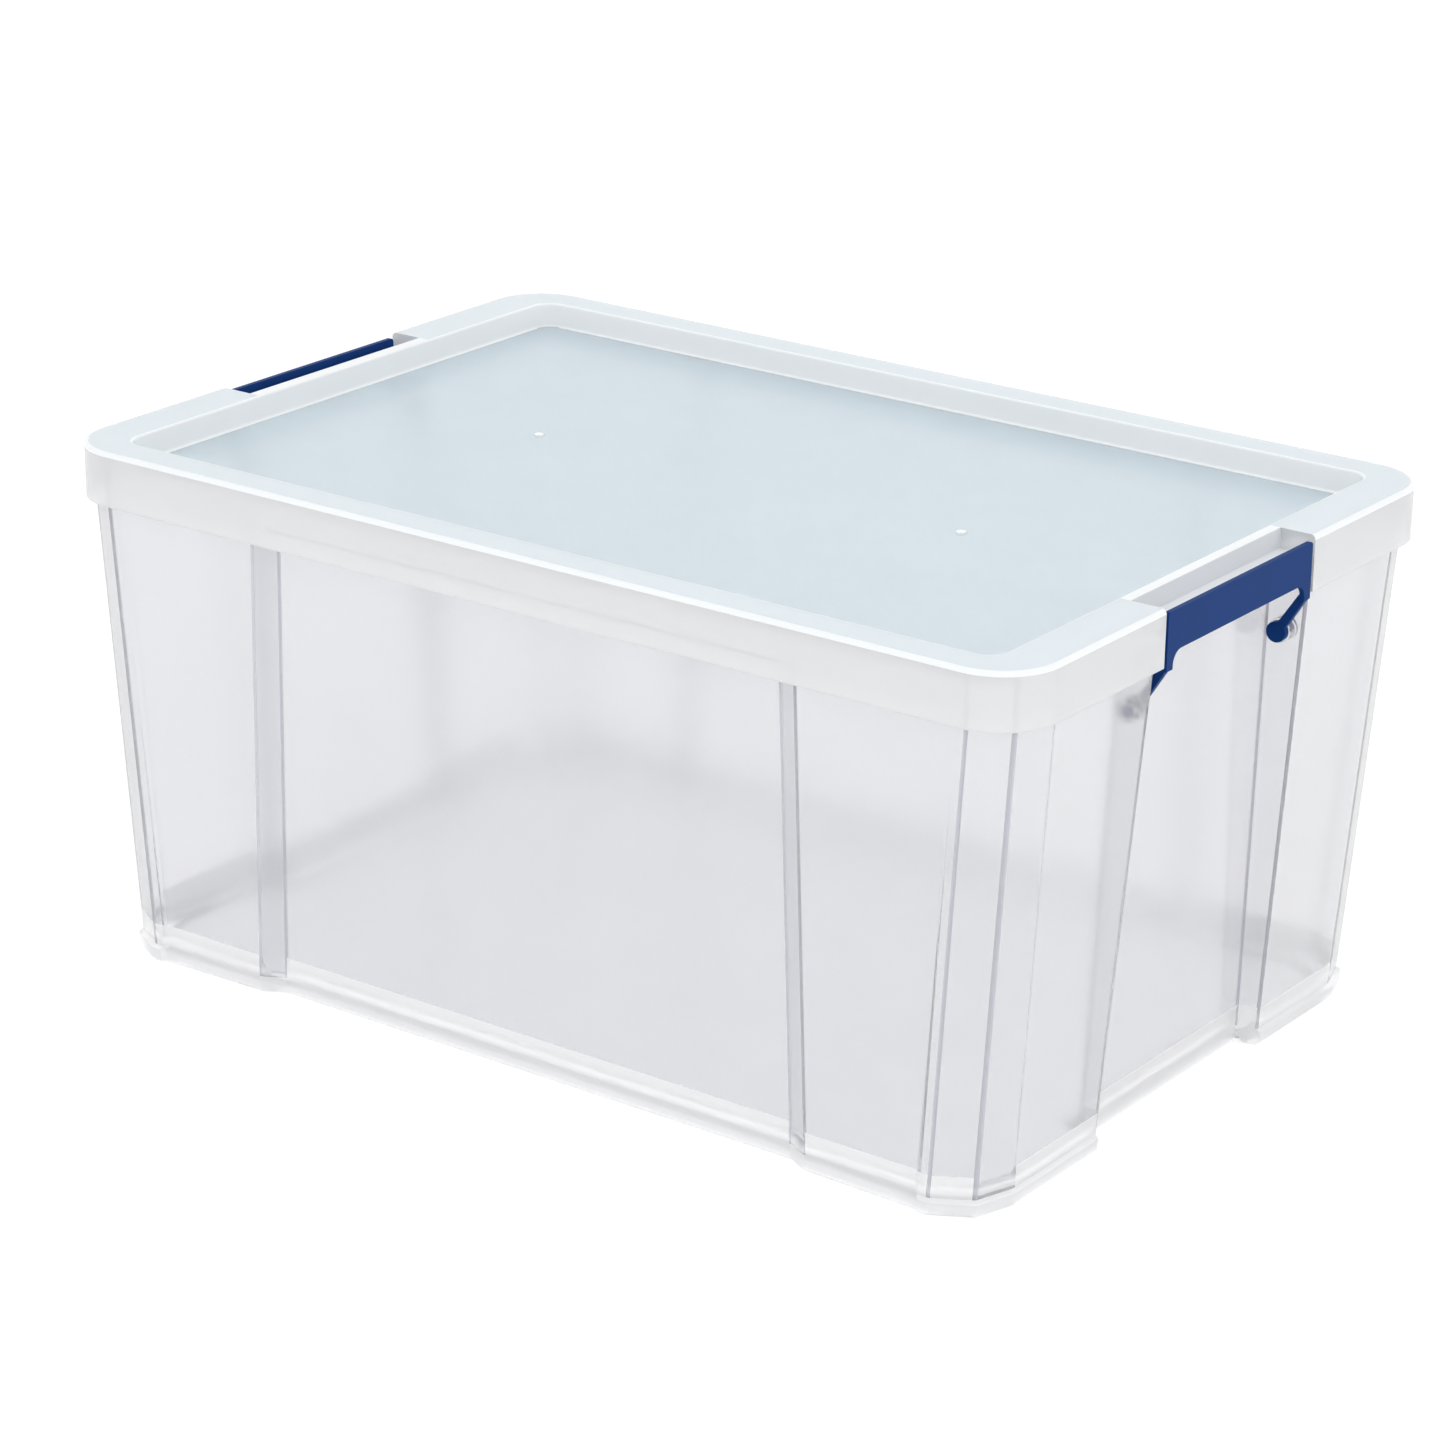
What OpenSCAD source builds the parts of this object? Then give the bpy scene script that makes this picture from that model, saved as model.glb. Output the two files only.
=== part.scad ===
// Deep storage box with a shallow-recessed lid and two swing-over clip handles.
// Four mouldings: a tapered tub, a lid, and a clip handle on each short end.
// The tub is one moulding, drawn as its floor, its two long walls and its two ends, which meet face to face.
// Millimetres. X runs along the box, Y across it, Z up. The origin is under the middle.

/* [Overall size] */
// Length over the lid, along X
length = 660; // [540:1:800]
// Width over the lid, along Y
width = 440; // [360:1:540]
// Height with the lid on
height = 316; // [230:1:420]

/* [Lid] */
// Wall of the lid
lid_wall = 2.2; // [1.8:0.1:3]
// Depth of the skirt, from the top of the flange to its lower edge
skirt_depth = 33; // [28:1:40]
// Outside radius of the skirt's corners, seen from above
skirt_corner_r = 36; // [30:1:44]
// Radius of the edge where the flange turns down into the skirt
top_edge_r = 3; // [1:0.5:5]
// Width of the flange on the short ends
end_flange = 30; // [27:1:36]
// Width of the flange on the long sides
side_flange = 23; // [18:1:32]
// Depth of the stacking recess below the flange
recess_depth = 15; // [8:1:18]
// Radius of the recess's corners, seen from above
recess_corner_r = 12; // [8:1:24]
// How far the recess's wall leans in over its depth
recess_lean = 1; // [0.5:0.5:3]
// Distance between the two moulding marks on the panel
mark_pitch = 300; // [200:10:360]
// Diameter of a moulding mark
mark_d = 6; // [4:1:10]
// Height of a moulding mark
mark_h = 1; // [0.5:0.5:1.5]

/* [Tub] */
// Wall of the tub
tub_wall = 2.4; // [2:0.1:3.2]
// Thickness of the tub's floor
floor_t = 2.6; // [2:0.1:4]
// Gap between the skirt and the tub's rim
rim_gap = 2; // [1:0.5:3]
// How far the end columns lean in from the skirt to the foot
end_lean = 19.5; // [10:0.5:24]
// How far the long sides lean in from the skirt to the foot
side_lean = 7.5; // [4:0.5:16]
// Radius between the wall and the floor, inside
floor_fillet = 18; // [8:1:24]
// Height of the bead round the foot of the columns
foot_bead_h = 8; // [5:1:12]
// How far the foot bead stands proud
foot_bead = 2; // [0.5:0.5:3]
// How far the floor is raised above the foot
foot_step = 3; // [2:0.5:6]
// Width of the ring that the box stands on
foot_ring = 9; // [6:1:14]

/* [Side panels] */
// Distance from the rim's end to the sunken middle panel of a long side
panel_inset = 138; // [110:1:160]
// Depth of the sunken middle panel
panel_depth = 7; // [3:0.5:10]
// Width of the sloping step at the middle panel's edge
panel_step = 14; // [8:1:20]
// How much further out the middle panel's edge is at the foot
panel_flare = 8; // [2:1:12]
// Depth of the flat panels between the columns and the middle panel
flat_depth = 2; // [1:0.5:3]
// Width of a corner column along the long side
column_w = 37; // [36:1:46]

/* [End recess] */
// Depth of the recess in a short end, at the skirt
end_recess = 23; // [20:0.5:28]
// Depth of the recess at the foot
end_recess_foot = 12; // [8:0.5:18]
// Side clearance between a clip handle and the recess
recess_side_gap = 5.5; // [4:0.5:8]
// How much further out the recess's side is at the foot
recess_flare = 6; // [2:1:9]
// How far the recess's side leans over its depth
recess_side_lean = 3; // [1:0.5:5]

/* [Clip handles] */
// Width of a clip handle
clip_w = 153; // [120:1:180]
// Thickness of the clip's plate
clip_t = 3; // [2.5:0.1:3.5]
// Height of the grip bar
bar_h = 23; // [18:1:26]
// Distance from the top of the flange down to the clip's top edge
clip_drop = 3; // [2:0.5:5]
// Height of the leg below the grip bar
leg_h = 10; // [8:1:12]
// Width of the leg
leg_w = 6.5; // [5:0.5:9]
// Radius between the grip bar and the leg
leg_fillet = 8; // [5:0.5:10]
// Thickness of an arm, along Y
arm_t = 4; // [3:0.5:5]
// Distance of the pivot in from the skirt's face
pivot_in = 18; // [17:0.5:20]
// Distance of the pivot below the top of the flange
pivot_down = 58.5; // [52:0.5:62]
// Diameter of the eye at an arm's lower end
eye_d = 12; // [10:0.5:13]
// Width of an arm where it meets the leg
arm_neck = 4.4; // [3.5:0.1:6]
// Width of an arm where it runs into its eye
arm_root = 5; // [4:0.1:10]
// Diameter of a pivot pin
pin_d = 7; // [6:0.5:8]
// Radial clearance of a pin in its hole
pin_gap = 0.08; // [0.04:0.01:0.1]
// How far a lug stands out from the recess's side to carry the pin
lug_out = 1.5; // [1:0.5:2]
// How far a pin reaches past its lug
pin_past = 1.5; // [0.5:0.5:3]
// How far the lip hooks over the lid's ledge
lip_hook = 3.2; // [2:0.1:4]
// Thickness of the lip
lip_t = 2.5; // [2:0.1:3.5]
// Gap between the lip and the ledge, so that the lip can swing off
lip_gap = 1.5; // [1.3:0.1:2]

/* [Lid notch] */
// Depth of the notch in the flange
notch_depth = 12; // [11:0.5:13]
// How far the notch reaches in from the skirt's face
notch_run = 22; // [18:0.5:24]
// Gap between the clip and the notch, at each side
notch_gap = 2.5; // [1.5:0.5:3]
// Gap between the ledge's edge and the clip's plate
ledge_gap = 0.5; // [0.3:0.1:1]
// Gap between the ledge and the rim below it
rim_dip_gap = 0.3; // [0.2:0.1:1]

/* [Hidden] */
$fn = 48;

// Small overlap that joins solids of one moulding, and the reach of a cut past a face
join = 0.4;
past = 2;

half_l = length / 2;
half_w = width / 2;

// Levels
skirt_z = height - skirt_depth;
rim_z = height - lid_wall;
ledge_z = height - notch_depth;
dip_z = ledge_z - lid_wall - rim_dip_gap;
shelf_z = skirt_z - 1;
shelf_rise = 10;
clip_top = height - clip_drop;
bar_bottom = clip_top - bar_h;
leg_bottom = bar_bottom - leg_h;
pivot_z = height - pivot_down;
pivot_x = half_l - pivot_in;

// The rim's outline, which the columns meet
rim_x = half_l - lid_wall - rim_gap;
rim_y = half_w - lid_wall - rim_gap;

// The clip and what it fits in
clip_half = clip_w / 2;
clip_in = half_l - clip_t;
ledge_x = clip_in - ledge_gap;
notch_half = clip_half + notch_gap;
recess_half = clip_half + recess_side_gap;
dip_half = notch_half + lid_wall + rim_gap;

// Corner of a column: how far its two bevels reach along X and Y
bevel_mid = [8, 12.5];
bevel_end = [30, 37];
column_step = 2.5;

// 1 at the foot, 0 at the skirt and above
function lean(z) = max(0, 1 - z / shelf_z);

// Points of a corner b rounded towards a and c, starting and ending reach from b
function rounded(a, b, c, reach, n) =
    let (u = (a - b) / norm(a - b), v = (c - b) / norm(c - b))
    [for (i = [0:n]) let (t = i / n, s = 1 - t)
        s * s * (b + u * reach) + 2 * s * t * b + t * t * (b + v * reach)];

// One quarter of the tub's outline at height z, as [x, y, reach, segments], from the X axis to the Y axis.
// proud pushes the columns out, and blend takes every panel out to the rim, where the roundings tighten.
function quarter(z, proud, blend) =
    let (
        xo = rim_x - end_lean * lean(z) + proud,
        yo = rim_y - side_lean * lean(z) + proud,
        depth = end_recess + (end_recess_foot - end_recess) * lean(z),
        xr = xo - proud - depth * (1 - blend),
        yf = yo - (flat_depth + proud) * (1 - blend),
        yp = yo - (flat_depth + proud + panel_depth) * (1 - blend),
        ro = recess_half + recess_flare * lean(z),
        ri = ro - recess_side_lean,
        po = rim_x - panel_inset + panel_flare * lean(z),
        pi = po - panel_step,
        tight = 1 - 0.8 * blend
    )
    [
        [xr, ri, 3 * tight, 2],
        [xo, ro, 5 * tight, 3],
        [xo, yo - bevel_end.y, 6, 2],
        [xo - bevel_mid.x, yo - bevel_mid.y, 7, 3],
        [xo - bevel_end.x, yo, 3, 2],
        [xo - column_w, yo, 0.8, 1],
        [xo - column_w - column_step, yf, 0.8, 1],
        [po, yf, 3, 2],
        [pi, yp, 3, 2]
    ];

// The quarter repeated round the box, anticlockwise, as [x, y, reach, segments]
function around(q) = let (n = len(q)) concat(
    q,
    [for (i = [n - 1:-1:0]) [-q[i].x, q[i].y, q[i][2], q[i][3]]],
    [for (i = [0:n - 1]) [-q[i].x, -q[i].y, q[i][2], q[i][3]]],
    [for (i = [n - 1:-1:0]) [q[i].x, -q[i].y, q[i][2], q[i][3]]]
);

// Every corner of a closed outline moved in by t, square to both of its sides
function inset(c, t) = let (n = len(c)) [for (i = [0:n - 1])
    let (
        a = xy(c[(i + n - 1) % n]), b = xy(c[i]), d = xy(c[(i + 1) % n]),
        u = (b - a) / norm(b - a), v = (d - b) / norm(d - b),
        m = [-u.y - v.y, u.x + v.x] / (1 + u * v)
    )
    [b.x + t * m.x, b.y + t * m.y, c[i][2], c[i][3]]];
function xy(p) = [p.x, p.y];

// A closed outline of rounded corners, as points at height z
function ring(c, z) = let (n = len(c)) [for (i = [0:n - 1])
    each [for (p = rounded(xy(c[(i + n - 1) % n]), xy(c[i]), xy(c[(i + 1) % n]), c[i][2], c[i][3])) [p.x, p.y, z]]];

// The tub's outline at height z, moved in by t, and then drawn in towards the middle by pull
function tub_ring(z, t = 0, proud = 0, blend = 0, at = undef, pull = 0) =
    [for (p = ring(inset(around(quarter(is_undef(at) ? z : at, proud, blend)), t), z))
        [p.x * (1 - pull / rim_x), p.y * (1 - pull / rim_y), z]];

// A rounded rectangle of half sizes hx and hy at height z
function plate_ring(hx, hy, r, z, n = 8) = [for (q = [0:3], i = [0:n])
    let (
        a = 90 * q + 90 * i / n,
        cx = (q == 0 || q == 3 ? 1 : -1) * (hx - r),
        cy = (q < 2 ? 1 : -1) * (hy - r)
    )
    [cx + r * cos(a), cy + r * sin(a), z]];

// A closed skin through rings of the same number of points, first ring facing down, last ring facing up
module skin(rings) {
    n = len(rings[0]);
    m = len(rings);
    polyhedron(
        points = [for (r = rings) each r],
        faces = concat(
            [[for (i = [0:n - 1]) i]],
            [for (k = [0:m - 2], i = [0:n - 1]) let (j = (i + 1) % n) each [
                [k * n + i, (k + 1) * n + i, (k + 1) * n + j],
                [k * n + i, (k + 1) * n + j, k * n + j]
            ]],
            [[for (i = [n - 1:-1:0]) (m - 1) * n + i]]
        )
    );
}

// Both ends of the box: the child as drawn at +X, and turned about Z to -X
module both_ends() {
    children();
    rotate([0, 0, 180]) children();
}

// Both sides of one end
module both_sides() {
    children();
    mirror([0, 1, 0]) children();
}

// A cylinder along +Y from y0 to y1, about the pivot's axis
module on_pivot(d, y0, y1) {
    translate([pivot_x, y1, pivot_z]) rotate([90, 0, 0]) cylinder(d = d, h = y1 - y0);
}

lug_in = clip_half + 0.5;
lug_end = recess_half + tub_wall + lug_out;
lug_d = eye_d + 2;

// The whole tub: tapered, with four columns, sunken side panels, a deep recess in each end and a plain rim
module tub() {
    fillet_steps = 3;
    foot_soft = 1.5;
    difference() {
        union() {
            skin(concat(
                [
                    tub_ring(foot_step, pull = foot_ring + foot_step),
                    tub_ring(0, pull = foot_ring),
                    tub_ring(0, proud = foot_bead, pull = foot_soft),
                    tub_ring(foot_soft, proud = foot_bead),
                    tub_ring(foot_bead_h, proud = foot_bead),
                    tub_ring(foot_bead_h + foot_bead),
                    tub_ring(shelf_z),
                    tub_ring(shelf_z + shelf_rise, blend = 1),
                    tub_ring(rim_z, blend = 1),
                    tub_ring(rim_z, tub_wall, blend = 1),
                    tub_ring(shelf_z + shelf_rise + tub_wall / 2, tub_wall, blend = 1),
                    tub_ring(shelf_z + tub_wall / 2, tub_wall, at = shelf_z)
                ],
                [for (i = [0:fillet_steps]) let (
                    a = 90 * i / fillet_steps,
                    z = foot_step + floor_t + floor_fillet * (1 - sin(a))
                ) tub_ring(z, tub_wall, pull = floor_fillet * (1 - cos(a)))]
            ));
            both_ends() both_sides() on_pivot(lug_d, lug_in, lug_end);
        }
        // The rim dips under the lid's ledge
        both_ends() translate([rim_x - end_recess, -dip_half, dip_z])
            cube([end_recess + past, 2 * dip_half, height]);
        both_ends() both_sides() on_pivot(pin_d + 2 * pin_gap, lug_in - past, lug_end + past);
    }
}

// The part of the tub that lies between two corners of a block
module tub_part(from, to) {
    color([0.9, 0.9, 0.92, 0.5]) intersection() {
        tub();
        translate(from) cube(to - from);
    }
}

// Where the tub is divided: above the floor's fillet, and inside the end columns
wall_base = foot_step + floor_t + floor_fillet + tub_wall;
wall_end = rim_x - column_w - column_step - join;

module tub_floor() {
    tub_part([-half_l, -half_w, -past], [half_l, half_w, wall_base]);
}

module tub_front() {
    tub_part([-wall_end, -half_w, wall_base], [wall_end, 0, height]);
}

module tub_back() {
    tub_part([-wall_end, 0, wall_base], [wall_end, half_w, height]);
}

module tub_left_end() {
    tub_part([-half_l, -half_w, wall_base], [-wall_end, half_w, height]);
}

module tub_right_end() {
    tub_part([wall_end, -half_w, wall_base], [half_l, half_w, height]);
}

// The lid: a skirt, a flat flange, a stacking recess, and a notch at each end that the clip drops into
module lid() {
    wall_x = half_l - end_flange;
    wall_y = half_w - side_flange;
    soft = 1.5;
    panel_z = height - recess_depth;
    notch_x = half_l - notch_run;
    color([0.82, 0.88, 0.93, 0.5]) {
        difference() {
            skin([
                plate_ring(wall_x + lid_wall - recess_lean, wall_y + lid_wall - recess_lean,
                    recess_corner_r + lid_wall - recess_lean, panel_z - lid_wall),
                plate_ring(wall_x + lid_wall, wall_y + lid_wall, recess_corner_r + lid_wall, rim_z),
                plate_ring(half_l - lid_wall, half_w - lid_wall, skirt_corner_r - lid_wall, rim_z),
                plate_ring(half_l - lid_wall, half_w - lid_wall, skirt_corner_r - lid_wall, skirt_z),
                plate_ring(half_l, half_w, skirt_corner_r, skirt_z),
                plate_ring(half_l, half_w, skirt_corner_r, height - top_edge_r),
                for (a = [30, 60, 90]) let (d = top_edge_r * (1 - cos(a)))
                    plate_ring(half_l - d, half_w - d, skirt_corner_r - d, height - top_edge_r * (1 - sin(a))),
                plate_ring(wall_x + soft, wall_y + soft, recess_corner_r + soft, height),
                plate_ring(wall_x, wall_y, recess_corner_r, height - soft),
                plate_ring(wall_x - recess_lean, wall_y - recess_lean, recess_corner_r - recess_lean,
                    panel_z + soft),
                plate_ring(wall_x - recess_lean - soft, wall_y - recess_lean - soft,
                    recess_corner_r - recess_lean - soft, panel_z)
            ]);
            both_ends() translate([notch_x, -notch_half, ledge_z])
                cube([notch_run + past, 2 * notch_half, notch_depth + past]);
            both_ends() translate([ledge_x, -notch_half, skirt_z - past])
                cube([half_l - ledge_x + past, 2 * notch_half, skirt_depth + past]);
        }
        both_ends() {
            // The ledge that the clip hooks over
            translate([notch_x - lid_wall, -notch_half - lid_wall, ledge_z - lid_wall])
                cube([ledge_x - notch_x + lid_wall, 2 * (notch_half + lid_wall), lid_wall]);
            // The notch's back wall
            translate([notch_x - lid_wall, -notch_half - lid_wall, ledge_z - join])
                cube([lid_wall, 2 * (notch_half + lid_wall), rim_z + join - ledge_z + join]);
            // The notch's side walls
            both_sides() translate([notch_x - lid_wall, notch_half, ledge_z - lid_wall])
                cube([half_l - lid_wall / 2 - notch_x + lid_wall, lid_wall, rim_z + join - ledge_z + lid_wall]);
        }
        for (s = [-1, 1]) translate([s * mark_pitch / 2, 0, panel_z - join])
            cylinder(d = mark_d, h = mark_h + join);
    }
}

// The outline of two discs and the straight band that is tangent to both
module taper_link(p, pr, q, qr) {
    d = q - p;
    a = atan2(d.y, d.x);
    b = acos((pr - qr) / norm(d));
    translate(p) circle(pr);
    translate(q) circle(qr);
    polygon([
        p + pr * [cos(a + b), sin(a + b)], q + qr * [cos(a + b), sin(a + b)],
        q + qr * [cos(a - b), sin(a - b)], p + pr * [cos(a - b), sin(a - b)]
    ]);
}

// The grip bar and legs, seen from the end of the box, as Y across and Z up
module clip_face() {
    corner = 2;
    translate([-clip_half + corner, bar_bottom]) square([clip_w - 2 * corner, bar_h]);
    translate([-clip_half, bar_bottom]) square([clip_w, bar_h - corner]);
    for (s = [-1, 1]) translate([s * (clip_half - corner), clip_top - corner]) circle(corner);
    for (s = [0, 1]) mirror([s, 0]) {
        translate([clip_half - leg_w, leg_bottom]) square([leg_w, leg_h + join]);
        difference() {
            translate([clip_half - leg_w - leg_fillet, bar_bottom - leg_fillet])
                square([leg_fillet + join, leg_fillet + join]);
            translate([clip_half - leg_w - leg_fillet, bar_bottom - leg_fillet]) circle(leg_fillet);
        }
    }
}

// A clip handle at +X: grip bar, hooked lip, two cranked arms and their pivot pins
module clip_handle() {
    neck = [half_l - arm_neck / 2, leg_bottom + arm_neck / 2];
    translate([clip_in, 0, 0]) rotate([90, 0, 90]) linear_extrude(clip_t) clip_face();
    translate([ledge_x - lip_hook, -clip_half + leg_w, ledge_z + lip_gap])
        cube([lip_hook + ledge_gap + join, clip_w - 2 * leg_w, lip_t]);
    both_sides() {
        translate([0, clip_half, 0]) rotate([90, 0, 0]) linear_extrude(arm_t) {
            translate([pivot_x, pivot_z]) circle(eye_d / 2);
            taper_link([pivot_x, pivot_z], arm_root / 2, neck, arm_neck / 2);
        }
        on_pivot(pin_d, clip_half - join, lug_end + pin_past);
    }
}

module handle_left() {
    color([0.1, 0.22, 0.5]) rotate([0, 0, 180]) clip_handle();
}

module handle_right() {
    color([0.1, 0.22, 0.5]) clip_handle();
}

tub_floor();
tub_front();
tub_back();
tub_left_end();
tub_right_end();
lid();
handle_left();
handle_right();
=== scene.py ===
import math
from math import cos, radians, sin

import bpy
import bmesh
from mathutils import Matrix, Vector


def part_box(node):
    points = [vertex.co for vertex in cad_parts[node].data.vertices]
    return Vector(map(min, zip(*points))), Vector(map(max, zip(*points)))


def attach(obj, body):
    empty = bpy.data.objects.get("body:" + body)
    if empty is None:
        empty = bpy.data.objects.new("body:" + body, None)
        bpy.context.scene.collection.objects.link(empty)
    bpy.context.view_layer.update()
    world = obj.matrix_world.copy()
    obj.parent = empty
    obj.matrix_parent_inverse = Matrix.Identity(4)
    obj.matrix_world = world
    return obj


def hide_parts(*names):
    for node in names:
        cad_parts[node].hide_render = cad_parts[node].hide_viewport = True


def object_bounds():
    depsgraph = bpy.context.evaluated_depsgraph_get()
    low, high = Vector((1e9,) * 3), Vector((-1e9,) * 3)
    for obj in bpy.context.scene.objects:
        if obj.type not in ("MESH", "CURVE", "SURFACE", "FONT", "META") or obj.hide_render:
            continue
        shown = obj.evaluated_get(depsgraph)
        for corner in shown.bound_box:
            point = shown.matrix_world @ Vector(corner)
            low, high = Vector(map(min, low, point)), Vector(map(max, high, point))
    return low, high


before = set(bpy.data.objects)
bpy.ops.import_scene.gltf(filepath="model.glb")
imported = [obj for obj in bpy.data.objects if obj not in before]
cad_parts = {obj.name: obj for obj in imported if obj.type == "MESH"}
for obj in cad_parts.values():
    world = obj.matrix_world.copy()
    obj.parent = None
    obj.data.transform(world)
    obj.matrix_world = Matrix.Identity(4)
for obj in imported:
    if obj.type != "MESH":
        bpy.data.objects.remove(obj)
cad_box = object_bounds()
bpy.ops.object.select_all(action="DESELECT")


# The studio: a plain floor that is white by its own glow, so that shadows on it stay faint, with white all
# round and one broad soft lamp above the front. A long lens looks down on one corner. Clear walls stand one
# behind another, so light is followed through many surfaces.
MIDDLE = Vector((0, 0, (cad_box[1] - cad_box[0]).z / 2))


def look_from(azimuth, elevation, distance, shift, roll):
    """A camera's place and turn, aimed at the box's middle and then shifted to its own right and up."""
    a, e, r = radians(azimuth), radians(elevation), radians(roll)
    back = Vector((sin(a) * cos(e), -cos(a) * cos(e), sin(e)))
    right = (-back).cross(Vector((0, 0, 1))).normalized()
    up = right.cross(-back)
    right, up = right * cos(r) + up * sin(r), up * cos(r) - right * sin(r)
    turn = Matrix((right, up, back)).transposed().to_4x4()
    return Matrix.Translation(MIDDLE + back * distance + right * shift[0] + up * shift[1]) @ turn


camera = bpy.data.objects.new("camera", bpy.data.cameras.new("camera"))
bpy.context.scene.collection.objects.link(camera)
camera.data.sensor_width = 36
camera.data.lens = 112.6
camera.data.clip_end = 20
camera.matrix_world = look_from(azimuth=35.95, elevation=20.49, distance=2.65287,
                                shift=(-0.01021, -0.00424), roll=0.76)
bpy.context.scene.camera = camera

lamp = bpy.data.objects.new("soft lamp", bpy.data.lights.new("soft lamp", "AREA"))
bpy.context.scene.collection.objects.link(lamp)
lamp.data.size, lamp.data.energy = 1.6, 4
lamp.location = (1.2, -0.9, 2.2)
lamp.rotation_euler = (MIDDLE - lamp.location).to_track_quat("-Z", "Y").to_euler()

world = bpy.data.worlds.new("studio")
bpy.context.scene.world = world
world.use_nodes = True
world.node_tree.nodes["Background"].inputs["Color"].default_value = (1, 1, 1, 1)
world.node_tree.nodes["Background"].inputs["Strength"].default_value = 1.0
bpy.context.scene.view_settings.view_transform = "Standard"
bpy.context.scene.cycles.max_bounces = 40
bpy.context.scene.cycles.transmission_bounces = 40
bpy.context.scene.cycles.diffuse_bounces = 16
bpy.context.scene.cycles.glossy_bounces = 16


def shader(name):
    """A new material, its node tree, and its Principled node."""
    material = bpy.data.materials.new(name)
    material.use_nodes = True
    return material, material.node_tree, material.node_tree.nodes["Principled BSDF"]


bpy.ops.mesh.primitive_plane_add(size=12, location=(0, 0, 0))
floor = bpy.context.object
floor.name = "floor"
paper, _, surface = shader("white paper")
surface.inputs["Base Color"].default_value = (0.17, 0.17, 0.17, 1)
surface.inputs["Roughness"].default_value = 1.0
surface.inputs["Emission Color"].default_value = (1, 1, 1, 1)
surface.inputs["Emission Strength"].default_value = 0.88
floor.data.materials.append(paper)


# The tub: one injection moulding in natural polypropylene. Four columns stand at the corners, the long
# sides sink in between them, and each end has a deep recess that the clip handle folds into.
# From here on, sizes are in millimetres, and MM makes them metres.
MM = 0.001
TUB_NODES = ["tub_floor", "tub_front", "tub_back", "tub_left_end", "tub_right_end"]
RIM_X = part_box("tub_right_end")[1].x / MM
RIM_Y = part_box("tub_back")[1].y / MM
RIM_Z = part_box("tub_back")[1].z / MM
TUB_WALL = 2.4
# The panels and recesses end in a shelf between these heights, and above it the walls stand upright
SHELF_Z, SHELF_TOP = 282, 292
# How far the walls come in from the shelf down to the foot
END_LEAN, SIDE_LEAN = 19.5, 7.5
COLUMN_X, COLUMN_STEP = RIM_X - 37, 2.5
# The corner's facets: how far in from the ends and the sides they meet each other, and meet the walls
BEVEL_MID, BEVEL_END = (8, 12.5), (30, 37)
FLAT_DEPTH, PANEL_DEPTH = 2, 7
PANEL_X, PANEL_STEP, PANEL_FLARE = RIM_X - 138, 14, 8
RECESS_Y, RECESS_FLARE, RECESS_LEAN = 82, 6, 3
RECESS_DEPTH, RECESS_FOOT = 23, 12
DIP_Y, DIP_Z = 83.2, 301.5
BEAD_H, BEAD = 8, 2
FOOT_STEP, FOOT_RING, FOOT_SOFT = 3, 9, 1.5
FLOOR_T, FLOOR_FILLET = 2.6, 18
PIVOT_X, PIVOT_Z = 312, 257.5
LUG_D, LUG_IN, LUG_END = 14, 77, 85.9
BORE_D = 7.16
# Further out than these, a point is on a long side or on an end
ON_SIDE, ON_END = 150, 250


def new_block(name, low, high):
    """A cuboid between two corners in millimetres, left in edit mode with nothing selected."""
    low, high = Vector(low) * MM, Vector(high) * MM
    bpy.ops.object.select_all(action="DESELECT")
    bpy.ops.mesh.primitive_cube_add(size=1, location=(low + high) / 2, scale=high - low)
    bpy.ops.object.transform_apply()
    bpy.context.object.name = name
    bpy.ops.object.mode_set(mode="EDIT")
    return bpy.context.object


def pick(kind, test, fresh=True):
    """Selects only the verts, edges or faces that pass the test, which takes their middle in millimetres
    and their direction: an edge's run, or a vert's or a face's normal. With fresh=False they are chosen from
    what is selected already. Returns the middle of them all."""
    piece = bpy.context.edit_object
    bpy.ops.mesh.select_mode(type={"verts": "VERT", "edges": "EDGE", "faces": "FACE"}[kind])
    mesh = bmesh.from_edit_mesh(piece.data)
    mesh.normal_update()
    among = [part for part in getattr(mesh, kind) if fresh or part.select]
    bpy.ops.mesh.select_all(action="DESELECT")
    found = []
    for part in among:
        if kind == "verts":
            middle, way = part.co / MM, part.normal
        elif kind == "edges":
            a, b = (v.co for v in part.verts)
            middle, way = (a + b) / 2 / MM, (b - a).normalized()
        else:
            middle, way = part.calc_center_median() / MM, part.normal
        if test(middle, way):
            part.select_set(True)
            found.append(middle)
    mesh.select_flush_mode()
    bmesh.update_edit_mesh(piece.data)
    return sum(found, Vector()) / max(1, len(found))


def slide(x=0, y=0, z=0):
    """Moves what is selected, in millimetres."""
    bpy.ops.transform.translate(value=(x * MM, y * MM, z * MM))


def cut(axis, *values, where=lambda m, way: True):
    """Cuts the faces that pass the test, square to X (0), Y (1) or Z (2), at each value in millimetres."""
    for value in values:
        pick("faces", where)
        place, normal = Vector(), Vector()
        place[axis], normal[axis] = value * MM, 1
        bpy.ops.mesh.bisect(plane_co=place, plane_no=normal)


def near(a, b, slack=0.05):
    """Whether two measures agree within the slack."""
    return abs(a - b) < slack


def apply(piece, kind, **settings):
    """Adds a modifier with these settings and applies it."""
    bpy.context.view_layer.objects.active = piece
    modifier = piece.modifiers.new(kind.lower(), kind)
    for name, value in settings.items():
        setattr(modifier, name, value)
    bpy.ops.object.modifier_apply(modifier=modifier.name)


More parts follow.
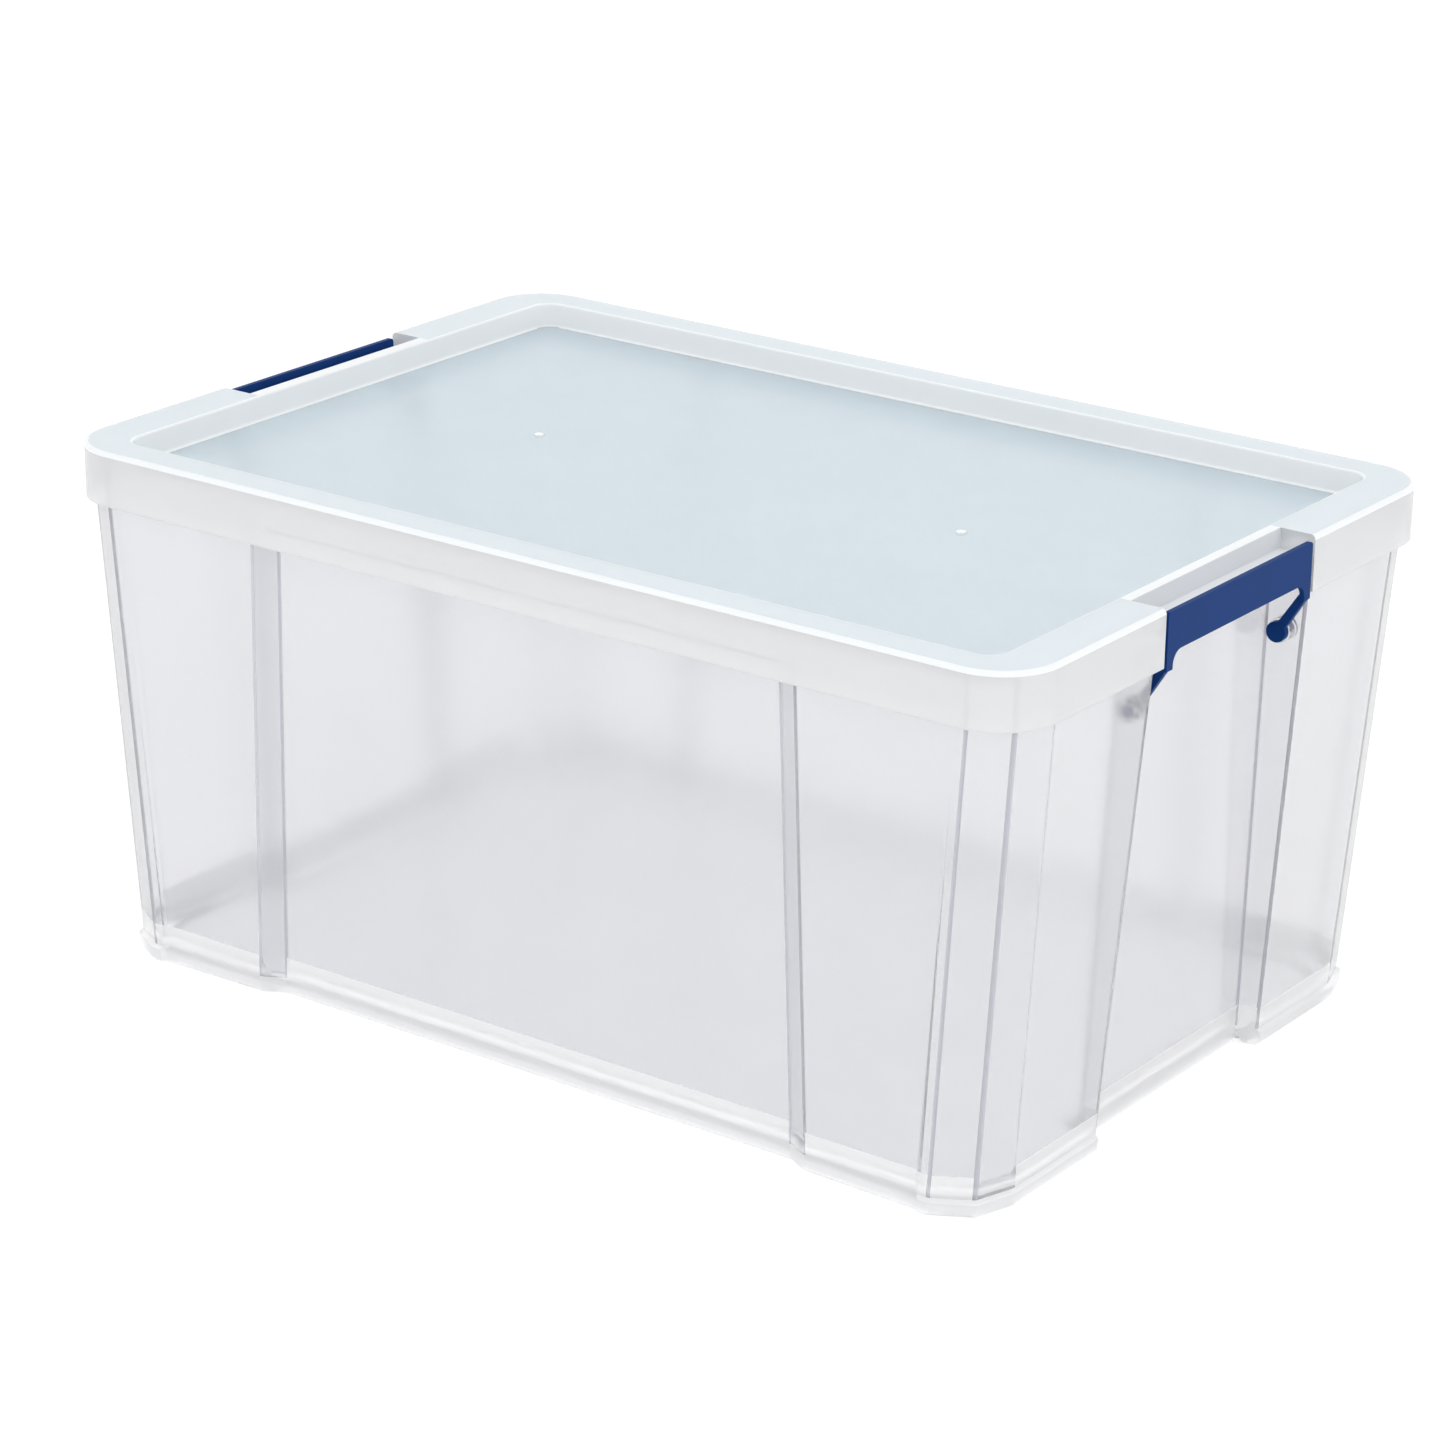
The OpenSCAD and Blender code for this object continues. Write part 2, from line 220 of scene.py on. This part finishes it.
def moulded_plastic(name, colour, clear, rough):
    """Translucent polypropylene: a little cloudy where the melt flowed, with a faint orange peel. Clear is
    the share of light that passes through it."""
    material, tree, surface = shader(name)
    node, link = tree.nodes.new, tree.links.new
    place = node("ShaderNodeTexCoord")
    cloud = node("ShaderNodeTexNoise")
    cloud.inputs["Scale"].default_value = 9
    cloud.inputs["Detail"].default_value = 3
    link(place.outputs["Object"], cloud.inputs["Vector"])
    tint = node("ShaderNodeMix")
    tint.data_type = "RGBA"
    tint.inputs["A"].default_value = (*colour, 1)
    tint.inputs["B"].default_value = (*(c * 0.99 for c in colour), 1)
    link(cloud.outputs["Fac"], tint.inputs["Factor"])
    link(tint.outputs["Result"], surface.inputs["Base Color"])
    clearness = node("ShaderNodeMapRange")
    clearness.inputs["To Min"].default_value = clear + 0.04
    clearness.inputs["To Max"].default_value = clear - 0.04
    link(cloud.outputs["Fac"], clearness.inputs["Value"])
    link(clearness.outputs["Result"], surface.inputs["Transmission Weight"])
    surface.inputs["Roughness"].default_value = rough
    surface.inputs["IOR"].default_value = 1.49
    peel = node("ShaderNodeTexNoise")
    peel.inputs["Scale"].default_value = 400
    link(place.outputs["Object"], peel.inputs["Vector"])
    bump = node("ShaderNodeBump")
    bump.inputs["Strength"].default_value = 0.006
    bump.inputs["Distance"].default_value = 0.0005
    link(peel.outputs["Fac"], bump.inputs["Height"])
    link(bump.outputs["Normal"], surface.inputs["Normal"])
    return material


def finish(piece, index, test):
    """Gives the faces that pass the test the piece's material with this index."""
    bpy.context.view_layer.objects.active = piece
    bpy.ops.object.mode_set(mode="EDIT")
    pick("faces", test)
    piece.active_material_index = index
    bpy.ops.object.material_slot_assign()
    bpy.ops.object.mode_set(mode="OBJECT")


tub = new_block("tub_moulding", (-RIM_X, -RIM_Y, 0), (RIM_X, RIM_Y, RIM_Z))
pick("edges", lambda m, way: abs(way.z) > 0.9)
bpy.ops.mesh.bevel(offset=BEVEL_END[0] * MM, segments=2)

# The corner's two facets: the bevel's edges go to where the columns have them
for sx in (-1, 1):
    for sy in (-1, 1):
        pick("verts", lambda m, way: near(m.x, sx * RIM_X) and m.y * sy > 0)
        slide(y=sy * (BEVEL_END[0] - BEVEL_END[1]))
        middle = pick("verts", lambda m, way: RIM_X - BEVEL_END[0] + 1 < m.x * sx < RIM_X - 1
                      and m.y * sy > 0)
        slide(sx * (RIM_X - BEVEL_MID[0]) - middle.x, sy * (RIM_Y - BEVEL_MID[1]) - middle.y)

pick("faces", lambda m, way: abs(way.z) > 0.9)
bpy.ops.mesh.delete(type="FACE")
for x in (COLUMN_X, COLUMN_X - COLUMN_STEP, PANEL_X, PANEL_X - PANEL_STEP):
    cut(0, x, -x)
for y in (RECESS_Y, RECESS_Y - RECESS_LEAN):
    cut(1, y, -y)
cut(2, FOOT_SOFT, BEAD_H, BEAD_H + BEAD, SHELF_Z, SHELF_TOP)

# Level by level, the panels and recesses go in, the columns' beads go out, and the walls lean
past_recess = RECESS_Y + RECESS_FLARE + 1
past_panels = COLUMN_X - COLUMN_STEP - END_LEAN - 1
for z in (0, FOOT_SOFT, BEAD_H, BEAD_H + BEAD, SHELF_Z):
    lean = 1 - z / SHELF_Z
    bead = BEAD if z <= BEAD_H else 0
    for s in (-1, 1):
        side = lambda m: near(m.z, z) and near(m.y, s * RIM_Y)
        end = lambda m: near(m.z, z) and near(m.x, s * RIM_X)
        pick("verts", lambda m, way: side(m) and abs(m.x) < PANEL_X - 1)
        slide(y=-s * (PANEL_DEPTH + FLAT_DEPTH))
        pick("verts", lambda m, way: side(m) and abs(m.x) < COLUMN_X - 1)
        slide(y=-s * FLAT_DEPTH)
        pick("verts", lambda m, way: end(m) and abs(m.y) < RECESS_Y - 1)
        slide(x=-s * (RECESS_DEPTH + (RECESS_FOOT - RECESS_DEPTH) * lean + bead))
    for s in (-1, 1):
        panel_edge = lambda m: PANEL_X - PANEL_STEP - 1 < m.x * s < PANEL_X + 1 and abs(m.y) > ON_SIDE
        recess_edge = lambda m: RECESS_Y - RECESS_LEAN - 1 < m.y * s < RECESS_Y + 1
        pick("verts", lambda m, way: near(m.z, z) and panel_edge(m))
        slide(x=s * PANEL_FLARE * lean)
        pick("verts", lambda m, way: near(m.z, z) and recess_edge(m))
        slide(y=s * RECESS_FLARE * lean)
        pick("verts", lambda m, way: near(m.z, z) and m.x * s > COLUMN_X - COLUMN_STEP - 1)
        slide(x=s * (bead - END_LEAN * lean))
        pick("verts", lambda m, way: near(m.z, z) and m.y * s > past_recess)
        slide(y=-s * SIDE_LEAN * lean)
        pick("verts", lambda m, way: near(m.z, z) and m.y * s > past_recess and abs(m.x) > past_panels)
        slide(y=s * bead)

# The upright edges are rounded, most of all at the corners
WIDEST = 7


def soften(reach, test):
    """Marks the upright edges that pass the test, to be rounded this far. The test takes |x|, |y| and z at
    an edge's middle, and how much of the walls' whole lean there is at that height."""
    pick("edges", lambda m, way: abs(way.z) > 0.7
         and test(abs(m.x), abs(m.y), m.z, max(0, 1 - m.z / SHELF_Z)))
    bpy.ops.transform.edge_bevelweight(value=reach / WIDEST)


FACETS = [(0, BEVEL_END[1], 6), (*BEVEL_MID, WIDEST), (BEVEL_END[0], 0, 5)]
SLACK = 1.5
for in_x, in_y, reach in FACETS:
    soften(reach, lambda x, y, z, lean: near(x, RIM_X - in_x - END_LEAN * lean + BEAD / 2, SLACK)
           and near(y, RIM_Y - in_y - SIDE_LEAN * lean + BEAD / 2, SLACK))
for edge in (PANEL_X, PANEL_X - PANEL_STEP):
    soften(3, lambda x, y, z, lean: z < SHELF_TOP and y > ON_SIDE
           and near(x, edge + PANEL_FLARE * lean, SLACK))
for edge, reach in ((RECESS_Y, 5), (RECESS_Y - RECESS_LEAN, 3)):
    soften(reach, lambda x, y, z, lean: z < SHELF_TOP and x > ON_END
           and near(y, edge + RECESS_FLARE * lean, 0.5))

# The rim dips at each end, so that the lid's ledge clears it
top_of_end = lambda m, way: m.z > SHELF_TOP and near(abs(m.x), RIM_X)
cut(1, DIP_Y, -DIP_Y, where=top_of_end)
cut(2, DIP_Z, where=lambda m, way: top_of_end(m, way) and abs(m.y) < DIP_Y)
pick("faces", lambda m, way: top_of_end(m, way) and abs(m.y) < DIP_Y and m.z > DIP_Z)
bpy.ops.mesh.delete(type="FACE")
FILLET_TOP = FOOT_STEP + FLOOR_T + FLOOR_FILLET
cut(2, FILLET_TOP)
bpy.ops.object.mode_set(mode="OBJECT")

# Painted shade: the rounded edges and the panels' steps get darker, less clear copies of the wall's plastic,
# standing in
# for the dark lines that light running along their thick plastic leaves. The foot's copy is cloudier and a
# little lighter:
# partly its thicker plastic, partly painted light from the white floor.
WALL, STEP_SHADE, EDGE, FOOT_FLOOR_LIGHT = range(4)


def on_step(m, way):
    """Whether a face is on the slope between a column and the sunken panel beside it."""
    slope_x = PANEL_X - PANEL_STEP / 2 + PANEL_FLARE * (1 - m.z / SHELF_Z)
    return m.z < SHELF_Z and abs(m.y) > ON_SIDE and near(abs(m.x), slope_x, 3) and 0.1 < abs(way.x) < 0.9


tub.data.materials.append(moulded_plastic("polypropylene wall", (0.98, 0.98, 0.998), 0.86, 0.15))
# The step and edge copies are painted shade: darker and less clear than the wall, for the dark lines light
# leaves in thick plastic
tub.data.materials.append(moulded_plastic("polypropylene step painted shade", (0.90, 0.90, 0.93), 0.80, 0.2))
tub.data.materials.append(moulded_plastic("polypropylene edge painted shade", (0.66, 0.66, 0.72), 0.60, 0.25))
# The foot's copy is cloudier and a little lighter: partly its thicker plastic, partly painted light from the
# white floor
tub.data.materials.append(moulded_plastic("polypropylene foot painted floor light", (0.985, 0.985, 0.995), 0.45, 0.3))
# The lower walls take the foot's copy, with its painted floor light
finish(tub, FOOT_FLOOR_LIGHT, lambda m, way: m.z < FILLET_TOP)
# The rounded upright edges take the edge material's painted shade
apply(tub, "BEVEL", width=WIDEST * MM, segments=3, limit_method="WEIGHT", use_clamp_overlap=True,
      material=EDGE)
# The slopes beside the sunken panels take the step material's painted shade
finish(tub, STEP_SHADE, on_step)
# The corner's edge on the end is so blunt that it gets no painted edge shade, and stays as clear as the wall
blunt_y = RIM_Y - BEVEL_END[1]
finish(tub, WALL, lambda m, way: abs(m.x) > COLUMN_X and blunt_y - 18 < abs(m.y) < blunt_y + 8)
# The foot ring and beads take the foot's copy, with its painted floor light
finish(tub, FOOT_FLOOR_LIGHT, lambda m, way: m.z < BEAD_H + BEAD)
tub.vertex_groups.new(name="inside")
apply(tub, "SOLIDIFY", thickness=TUB_WALL * MM, offset=-1, use_even_offset=True, shell_vertex_group="inside")

# Inside, the walls run into the floor in a wide fillet
bpy.ops.object.mode_set(mode="EDIT")
bpy.ops.mesh.select_mode(type="VERT")
bpy.ops.mesh.select_all(action="DESELECT")
bpy.ops.object.vertex_group_select()
pick("faces", lambda m, way: m.z < FILLET_TOP - 0.5, fresh=False)
bpy.ops.mesh.delete(type="FACE")
pick("faces", lambda m, way: m.z < 0.5 and way.z < -0.9)
bpy.ops.mesh.delete(type="FACE")


def open_edges(test):
    """Selects the open edges that pass the test."""
    bpy.ops.mesh.select_mode(type="EDGE")
    bpy.ops.mesh.select_all(action="DESELECT")
    bpy.ops.mesh.select_non_manifold(extend=False, use_wire=False, use_multi_face=False,
                                     use_non_contiguous=False, use_verts=False)
    pick("edges", test, fresh=False)


def draw_in(pull, z, before=0):
    """Extrudes the selected edges to the height z, and towards the middle: to pull, from before."""
    bpy.ops.mesh.extrude_edges_move()
    middle = pick("edges", lambda m, way: True, fresh=False)
    bpy.ops.transform.resize(value=((1 - pull / RIM_X) / (1 - before / RIM_X),
                                    (1 - pull / RIM_Y) / (1 - before / RIM_Y), 1), center_override=(0, 0, 0))
    slide(z=z - middle.z)


open_edges(lambda m, way: m.z > FILLET_TOP - 2)
FILLET_STEPS = 6
pulls = [FLOOR_FILLET * (1 - cos(radians(90) * i / FILLET_STEPS)) for i in range(FILLET_STEPS + 1)]
for i in range(1, FILLET_STEPS + 1):
    draw_in(pulls[i], FILLET_TOP - FLOOR_FILLET * sin(radians(90) * i / FILLET_STEPS), pulls[i - 1])
bpy.ops.mesh.edge_face_add()

# Outside, the box stands on a ring, and the floor is raised inside it
open_edges(lambda m, way: m.z < 1)
bpy.ops.transform.resize(value=(1 - FOOT_SOFT / RIM_X, 1 - FOOT_SOFT / RIM_Y, 1),
                         center_override=(0, 0, 0))
draw_in(FOOT_RING, 0, FOOT_SOFT)
draw_in(FOOT_RING + FOOT_STEP, FOOT_STEP, FOOT_RING)
bpy.ops.mesh.edge_face_add()
bpy.ops.mesh.select_all(action="SELECT")
bpy.ops.mesh.remove_doubles(threshold=0.00001)
bpy.ops.mesh.normals_make_consistent(inside=False)
bpy.ops.object.mode_set(mode="OBJECT")
floor_plate = lambda m, way: m.z < FILLET_TOP and max(abs(m.x), abs(m.y)) < 50
finish(tub, WALL, floor_plate)


def pin_along_y(name, d, x, z, y0, y1):
    """A round bar along Y from y0 to y1, in millimetres."""
    bpy.ops.object.select_all(action="DESELECT")
    bpy.ops.mesh.primitive_cylinder_add(vertices=48, radius=d / 2 * MM, depth=abs(y1 - y0) * MM,
                                        location=(x * MM, (y0 + y1) / 2 * MM, z * MM),
                                        rotation=(radians(90), 0, 0))
    bpy.ops.object.transform_apply()
    bpy.context.object.name = name
    return bpy.context.object


def merge(piece, others, operation):
    """Joins, or cuts away, other pieces by a boolean, and removes them."""
    for other in others:
        apply(piece, "BOOLEAN", operation=operation, object=other, solver="EXACT")
        bpy.data.objects.remove(other)


# The lugs that carry the handles' pins, in the sides of the end recesses. The bores are cut right through
four = [(sx, sy) for sx in (-1, 1) for sy in (-1, 1)]
PAST = 2
merge(tub, [pin_along_y("lug", LUG_D, sx * PIVOT_X, PIVOT_Z, sy * LUG_IN, sy * LUG_END)
            for sx, sy in four], "UNION")
merge(tub, [pin_along_y("bore", BORE_D, sx * PIVOT_X, PIVOT_Z, sy * (LUG_IN - PAST), sy * (LUG_END + PAST))
            for sx, sy in four], "DIFFERENCE")
tub.select_set(True)
bpy.context.view_layer.objects.active = tub
bpy.ops.object.shade_smooth_by_angle(angle=radians(30))
apply(tub, "WEIGHTED_NORMAL", keep_sharp=True)
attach(tub, "tub")
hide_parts(*TUB_NODES)


# The lid: one moulding in pale blue translucent polypropylene. A deep skirt hangs over the rim, the middle
# is sunk to take the foot of the next box, and a notch at each end lets the clip hook over a low ledge.
LID_X, LID_Y, LID_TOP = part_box("lid")[1] / MM
SKIRT_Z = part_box("lid")[0].z / MM
LID_WALL = 2.2
SKIRT_R = 36
TOP_EDGE = 3
WELL_X, WELL_Y, WELL_R = LID_X - 30, LID_Y - 23, 13
WELL_DEPTH, WELL_LEAN = 15, 1
NOTCH_X, NOTCH_Y, NOTCH_DEPTH = LID_X - 22, 79, 12
LEDGE_X = LID_X - 3.5
LEDGE_Z = LID_TOP - NOTCH_DEPTH
SOFT = 1.5


def off_outline(m, half_x, half_y, radius):
    """How far a point is outside a rounded rectangle, seen from above."""
    x, y = abs(m.x) - half_x + radius, abs(m.y) - half_y + radius
    return math.hypot(max(x, 0), max(y, 0)) + min(max(x, y), 0) - radius


lid = new_block("lid_moulding", (-LID_X, -LID_Y, SKIRT_Z), (LID_X, LID_Y, LID_TOP))
pick("edges", lambda m, way: abs(way.z) > 0.9)
bpy.ops.mesh.bevel(offset=SKIRT_R * MM, segments=12)
pick("faces", lambda m, way: way.z < -0.9)
bpy.ops.mesh.delete(type="FACE")
pick("faces", lambda m, way: way.z > 0.9)
bpy.ops.mesh.inset(thickness=(LID_Y - WELL_Y) * MM)
bpy.ops.transform.resize(value=(WELL_X / (LID_X - LID_Y + WELL_Y), 1, 1), center_override=(0, 0, 0))
bpy.ops.mesh.extrude_region_move(TRANSFORM_OT_translate={"value": (0, 0, -WELL_DEPTH * MM)})
bpy.ops.transform.resize(value=(1 - WELL_LEAN / WELL_X, 1 - WELL_LEAN / WELL_Y, 1),
                         center_override=(0, 0, 0))

# A notch in each end: part of the flange goes down to the ledge, and the skirt in front of it is cut away
outer = lambda m, way: abs(m.x) > WELL_X + 1 and abs(m.y) < LID_Y / 2
cut(1, NOTCH_Y, -NOTCH_Y, where=outer)
notch = lambda m, way: abs(m.y) < NOTCH_Y and abs(m.x) > WELL_X + 1
cut(0, NOTCH_X, -NOTCH_X, where=lambda m, way: notch(m, way) and way.z > 0.9)
cut(2, LEDGE_Z, where=lambda m, way: outer(m, way) and abs(way.x) > 0.9)
pick("faces", lambda m, way: notch(m, way) and way.z > 0.9 and abs(m.x) > NOTCH_X)
bpy.ops.mesh.extrude_region_move(TRANSFORM_OT_translate={"value": (0, 0, -NOTCH_DEPTH * MM)})
cut(0, LEDGE_X, -LEDGE_X, where=lambda m, way: notch(m, way) and near(m.z, LEDGE_Z))
pick("faces", lambda m, way: notch(m, way) and abs(m.x) > LEDGE_X)
bpy.ops.mesh.delete(type="FACE")
bpy.ops.mesh.select_all(action="SELECT")
bpy.ops.mesh.remove_doubles(threshold=0.00001)

# Rounded edges, each with its own radius
on_skirt = lambda m: near(off_outline(m, LID_X, LID_Y, SKIRT_R), 0, 0.6)
on_well = lambda m: near(off_outline(m, WELL_X, WELL_Y, WELL_R), 0, 2.2)
pick("edges", lambda m, way: near(m.z, LID_TOP) and on_skirt(m))
bpy.ops.mesh.bevel(offset=TOP_EDGE * MM, segments=5)
pick("edges", lambda m, way: on_well(m) and (near(m.z, LID_TOP) or near(m.z, LID_TOP - WELL_DEPTH)))
bpy.ops.mesh.bevel(offset=SOFT * MM, segments=3)
pick("edges", lambda m, way: near(abs(m.x), NOTCH_X) and abs(m.y) < NOTCH_Y + 1 and abs(way.x) < 0.1)
bpy.ops.mesh.bevel(offset=SOFT / 2 * MM, segments=2)
bpy.ops.object.mode_set(mode="OBJECT")

# The panel is the clearest and bluest. The well's wall, the notches and the rounded rim are nearly white and
# nearly
# opaque: painted light, which brightens the well's wall and the notches where shade falls on them and paints
# a highlight along the rounded rim.
PANEL, SKIRT, PAINTED_LIGHT, FLANGE = range(4)
on_rim_edge = lambda m, way: off_outline(m, WELL_X, WELL_Y, WELL_R) > 1 and 0.05 < way.z < 0.9
lid.data.materials.append(moulded_plastic("pale blue panel", (0.84, 0.945, 1.0), 0.58, 0.2))
lid.data.materials.append(moulded_plastic("pale blue skirt", (0.975, 0.98, 0.99), 0.45, 0.25))
lid.data.materials.append(moulded_plastic("pale blue painted light", (0.965, 0.985, 1.0), 0.08, 0.25))
lid.data.materials.append(moulded_plastic("pale blue flange", (0.88, 0.955, 1.0), 0.25, 0.25))
finish(lid, FLANGE, lambda m, way: way.z > 0.9 and m.z > LID_TOP - 1)
finish(lid, SKIRT, lambda m, way: way.z < 0.9)
# Painted light: the well's wall, the notches and the rounded rim get the near-white, nearly opaque copy
finish(lid, PAINTED_LIGHT, lambda m, way: notch(m, way) or on_well(m) or on_rim_edge(m, way))
apply(lid, "SOLIDIFY", thickness=LID_WALL * MM, offset=-1, use_even_offset=True)

# Two small moulding marks stand up from the panel. A joined piece is sunk a little into the other one
MARK_X, MARK_D, MARK_H = 150, 6, 1
MARK_ROUND = 0.3
SUNK = 0.4


def moulding_mark(x, z0, z1):
    """A round boss that stands on the lid's long axis from z0 to z1, with a softened top."""
    bpy.ops.object.select_all(action="DESELECT")
    bpy.ops.mesh.primitive_cylinder_add(vertices=48, radius=MARK_D / 2 * MM, depth=(z1 - z0) * MM,
                                        location=(x * MM, 0, (z0 + z1) / 2 * MM))
    bpy.ops.object.transform_apply()
    bpy.ops.object.mode_set(mode="EDIT")
    pick("edges", lambda m, way: near(m.z, z1))
    bpy.ops.mesh.bevel(offset=(z1 - z0) * MARK_ROUND * MM, segments=3)
    bpy.ops.object.mode_set(mode="OBJECT")
    return bpy.context.object


panel_z = LID_TOP - WELL_DEPTH
merge(lid, [moulding_mark(s * MARK_X, panel_z - SUNK, panel_z + MARK_H) for s in (-1, 1)], "UNION")
# The marks' tops get the near-white painted light too, as a painted highlight on each
finish(lid, PAINTED_LIGHT, lambda m, way: m.z > panel_z + 0.1 and math.hypot(abs(m.x) - MARK_X, m.y) < MARK_D)
lid.select_set(True)
bpy.context.view_layer.objects.active = lid
bpy.ops.object.shade_smooth_by_angle(angle=radians(30))
apply(lid, "WEIGHTED_NORMAL", keep_sharp=True)
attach(lid, "lid")
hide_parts("lid")


# The clip handles: one moulding each in dark blue polypropylene. A flat grip bar carries two cranked arms
# whose moulded pins snap into the tub's lugs, and a lip along its back hooks over the lid's ledge.
CLIP_Y = 76.5
CLIP_BACK, CLIP_FRONT = LID_X - 3, LID_X
BAR_LOW, BAR_HIGH = LID_TOP - 26, LID_TOP - 3
LEG_W, LEG_H, LEG_FILLET = 6.5, 10, 8
ARM_T, EYE_R, ROOT_R, NECK_R = 4, 6, 2.5, 2.2
PIN_D, PIN_END = 7, 87.4
LIP_LOW, LIP_HIGH, LIP_REACH = LEDGE_Z + 1.5, LEDGE_Z + 4, 3.7
TOP_CORNER = 2
EDGE_R = 0.5
OVERLAP = 0.5

right = new_block("handle_right_moulding", (CLIP_BACK, -CLIP_Y, BAR_LOW), (CLIP_FRONT, CLIP_Y, BAR_HIGH))
cut(1, CLIP_Y - LEG_W, LEG_W - CLIP_Y)
pick("faces", lambda m, way: way.z < -0.9 and abs(m.y) > CLIP_Y - LEG_W)
bpy.ops.mesh.extrude_region_move(TRANSFORM_OT_translate={"value": (0, 0, -LEG_H * MM)})
cut(2, LIP_LOW, LIP_HIGH, where=lambda m, way: m.z > BAR_LOW)
pick("faces", lambda m, way: way.x < -0.9 and LIP_LOW < m.z < LIP_HIGH and abs(m.y) < CLIP_Y - LEG_W)
bpy.ops.mesh.extrude_region_move(TRANSFORM_OT_translate={"value": (-LIP_REACH * MM, 0, 0)})
pick("edges", lambda m, way: abs(way.x) > 0.9 and near(m.z, BAR_LOW) and near(abs(m.y), CLIP_Y - LEG_W))
bpy.ops.mesh.bevel(offset=LEG_FILLET * MM, segments=8)
pick("edges", lambda m, way: abs(way.x) > 0.9 and near(m.z, BAR_HIGH) and near(abs(m.y), CLIP_Y))
bpy.ops.mesh.bevel(offset=TOP_CORNER * MM, segments=4)
bpy.ops.object.mode_set(mode="OBJECT")
neck = Vector((CLIP_FRONT - NECK_R, 0, BAR_LOW - LEG_H + NECK_R))
pivot = Vector((PIVOT_X, 0, PIVOT_Z))
along = (neck - pivot).normalized()
root_spread = cos(math.asin(ROOT_R / EYE_R))
parts = []
for s in (-1, 1):
    arm = pin_along_y("arm", 2 * EYE_R, PIVOT_X, PIVOT_Z, s * (CLIP_Y - ARM_T), s * CLIP_Y)
    bpy.ops.object.mode_set(mode="EDIT")
    pick("faces", lambda m, way: abs(way.y) < 0.5 and way.dot(along) > root_spread)
    bpy.ops.mesh.extrude_region_move()
    bpy.ops.transform.resize(value=(NECK_R / ROOT_R, 1, NECK_R / ROOT_R), center_override=pivot * MM)
    slide(*(neck - pivot - along * (EYE_R * NECK_R / ROOT_R - OVERLAP)))
    bpy.ops.object.mode_set(mode="OBJECT")
    parts += [arm, pin_along_y("pin", PIN_D, PIVOT_X, PIVOT_Z, s * (CLIP_Y - SUNK), s * PIN_END)]
merge(right, parts, "UNION")
apply(right, "BEVEL", width=EDGE_R * MM, segments=3, limit_method="ANGLE", angle_limit=radians(50))
bpy.ops.object.select_all(action="DESELECT")
right.select_set(True)
bpy.context.view_layer.objects.active = right
bpy.ops.object.shade_smooth_by_angle(angle=radians(35))
apply(right, "WEIGHTED_NORMAL", keep_sharp=True)
bpy.ops.object.duplicate()
left = bpy.context.object
left.name = "handle_left_moulding"
left.rotation_euler.z = math.pi
bpy.ops.object.transform_apply()


def solid_plastic(name, dark, light):
    """Coloured polypropylene straight from a textured mould: fine grain, and slightly uneven pigment."""
    material, tree, surface = shader(name)
    node, link = tree.nodes.new, tree.links.new
    place = node("ShaderNodeTexCoord")
    cloud = node("ShaderNodeTexNoise")
    cloud.inputs["Scale"].default_value = 30
    cloud.inputs["Detail"].default_value = 4
    link(place.outputs["Object"], cloud.inputs["Vector"])
    tint = node("ShaderNodeMix")
    tint.data_type = "RGBA"
    tint.inputs["A"].default_value = (*dark, 1)
    tint.inputs["B"].default_value = (*light, 1)
    link(cloud.outputs["Fac"], tint.inputs["Factor"])
    link(tint.outputs["Result"], surface.inputs["Base Color"])
    sheen = node("ShaderNodeMapRange")
    sheen.inputs["To Min"].default_value = 0.35
    sheen.inputs["To Max"].default_value = 0.5
    link(cloud.outputs["Fac"], sheen.inputs["Value"])
    link(sheen.outputs["Result"], surface.inputs["Roughness"])
    surface.inputs["Specular IOR Level"].default_value = 0.06
    grain = node("ShaderNodeTexNoise")
    grain.inputs["Scale"].default_value = 1500
    link(place.outputs["Object"], grain.inputs["Vector"])
    bump = node("ShaderNodeBump")
    bump.inputs["Strength"].default_value = 0.15
    bump.inputs["Distance"].default_value = 0.0002
    link(grain.outputs["Fac"], bump.inputs["Height"])
    link(bump.outputs["Normal"], surface.inputs["Normal"])
    return material


navy = solid_plastic("dark blue polypropylene", (0.004, 0.034, 0.155), (0.008, 0.047, 0.205))
for clip, side in ((right, "handle_right"), (left, "handle_left")):
    clip.data.materials.append(navy)
    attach(clip, side)
    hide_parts(side)
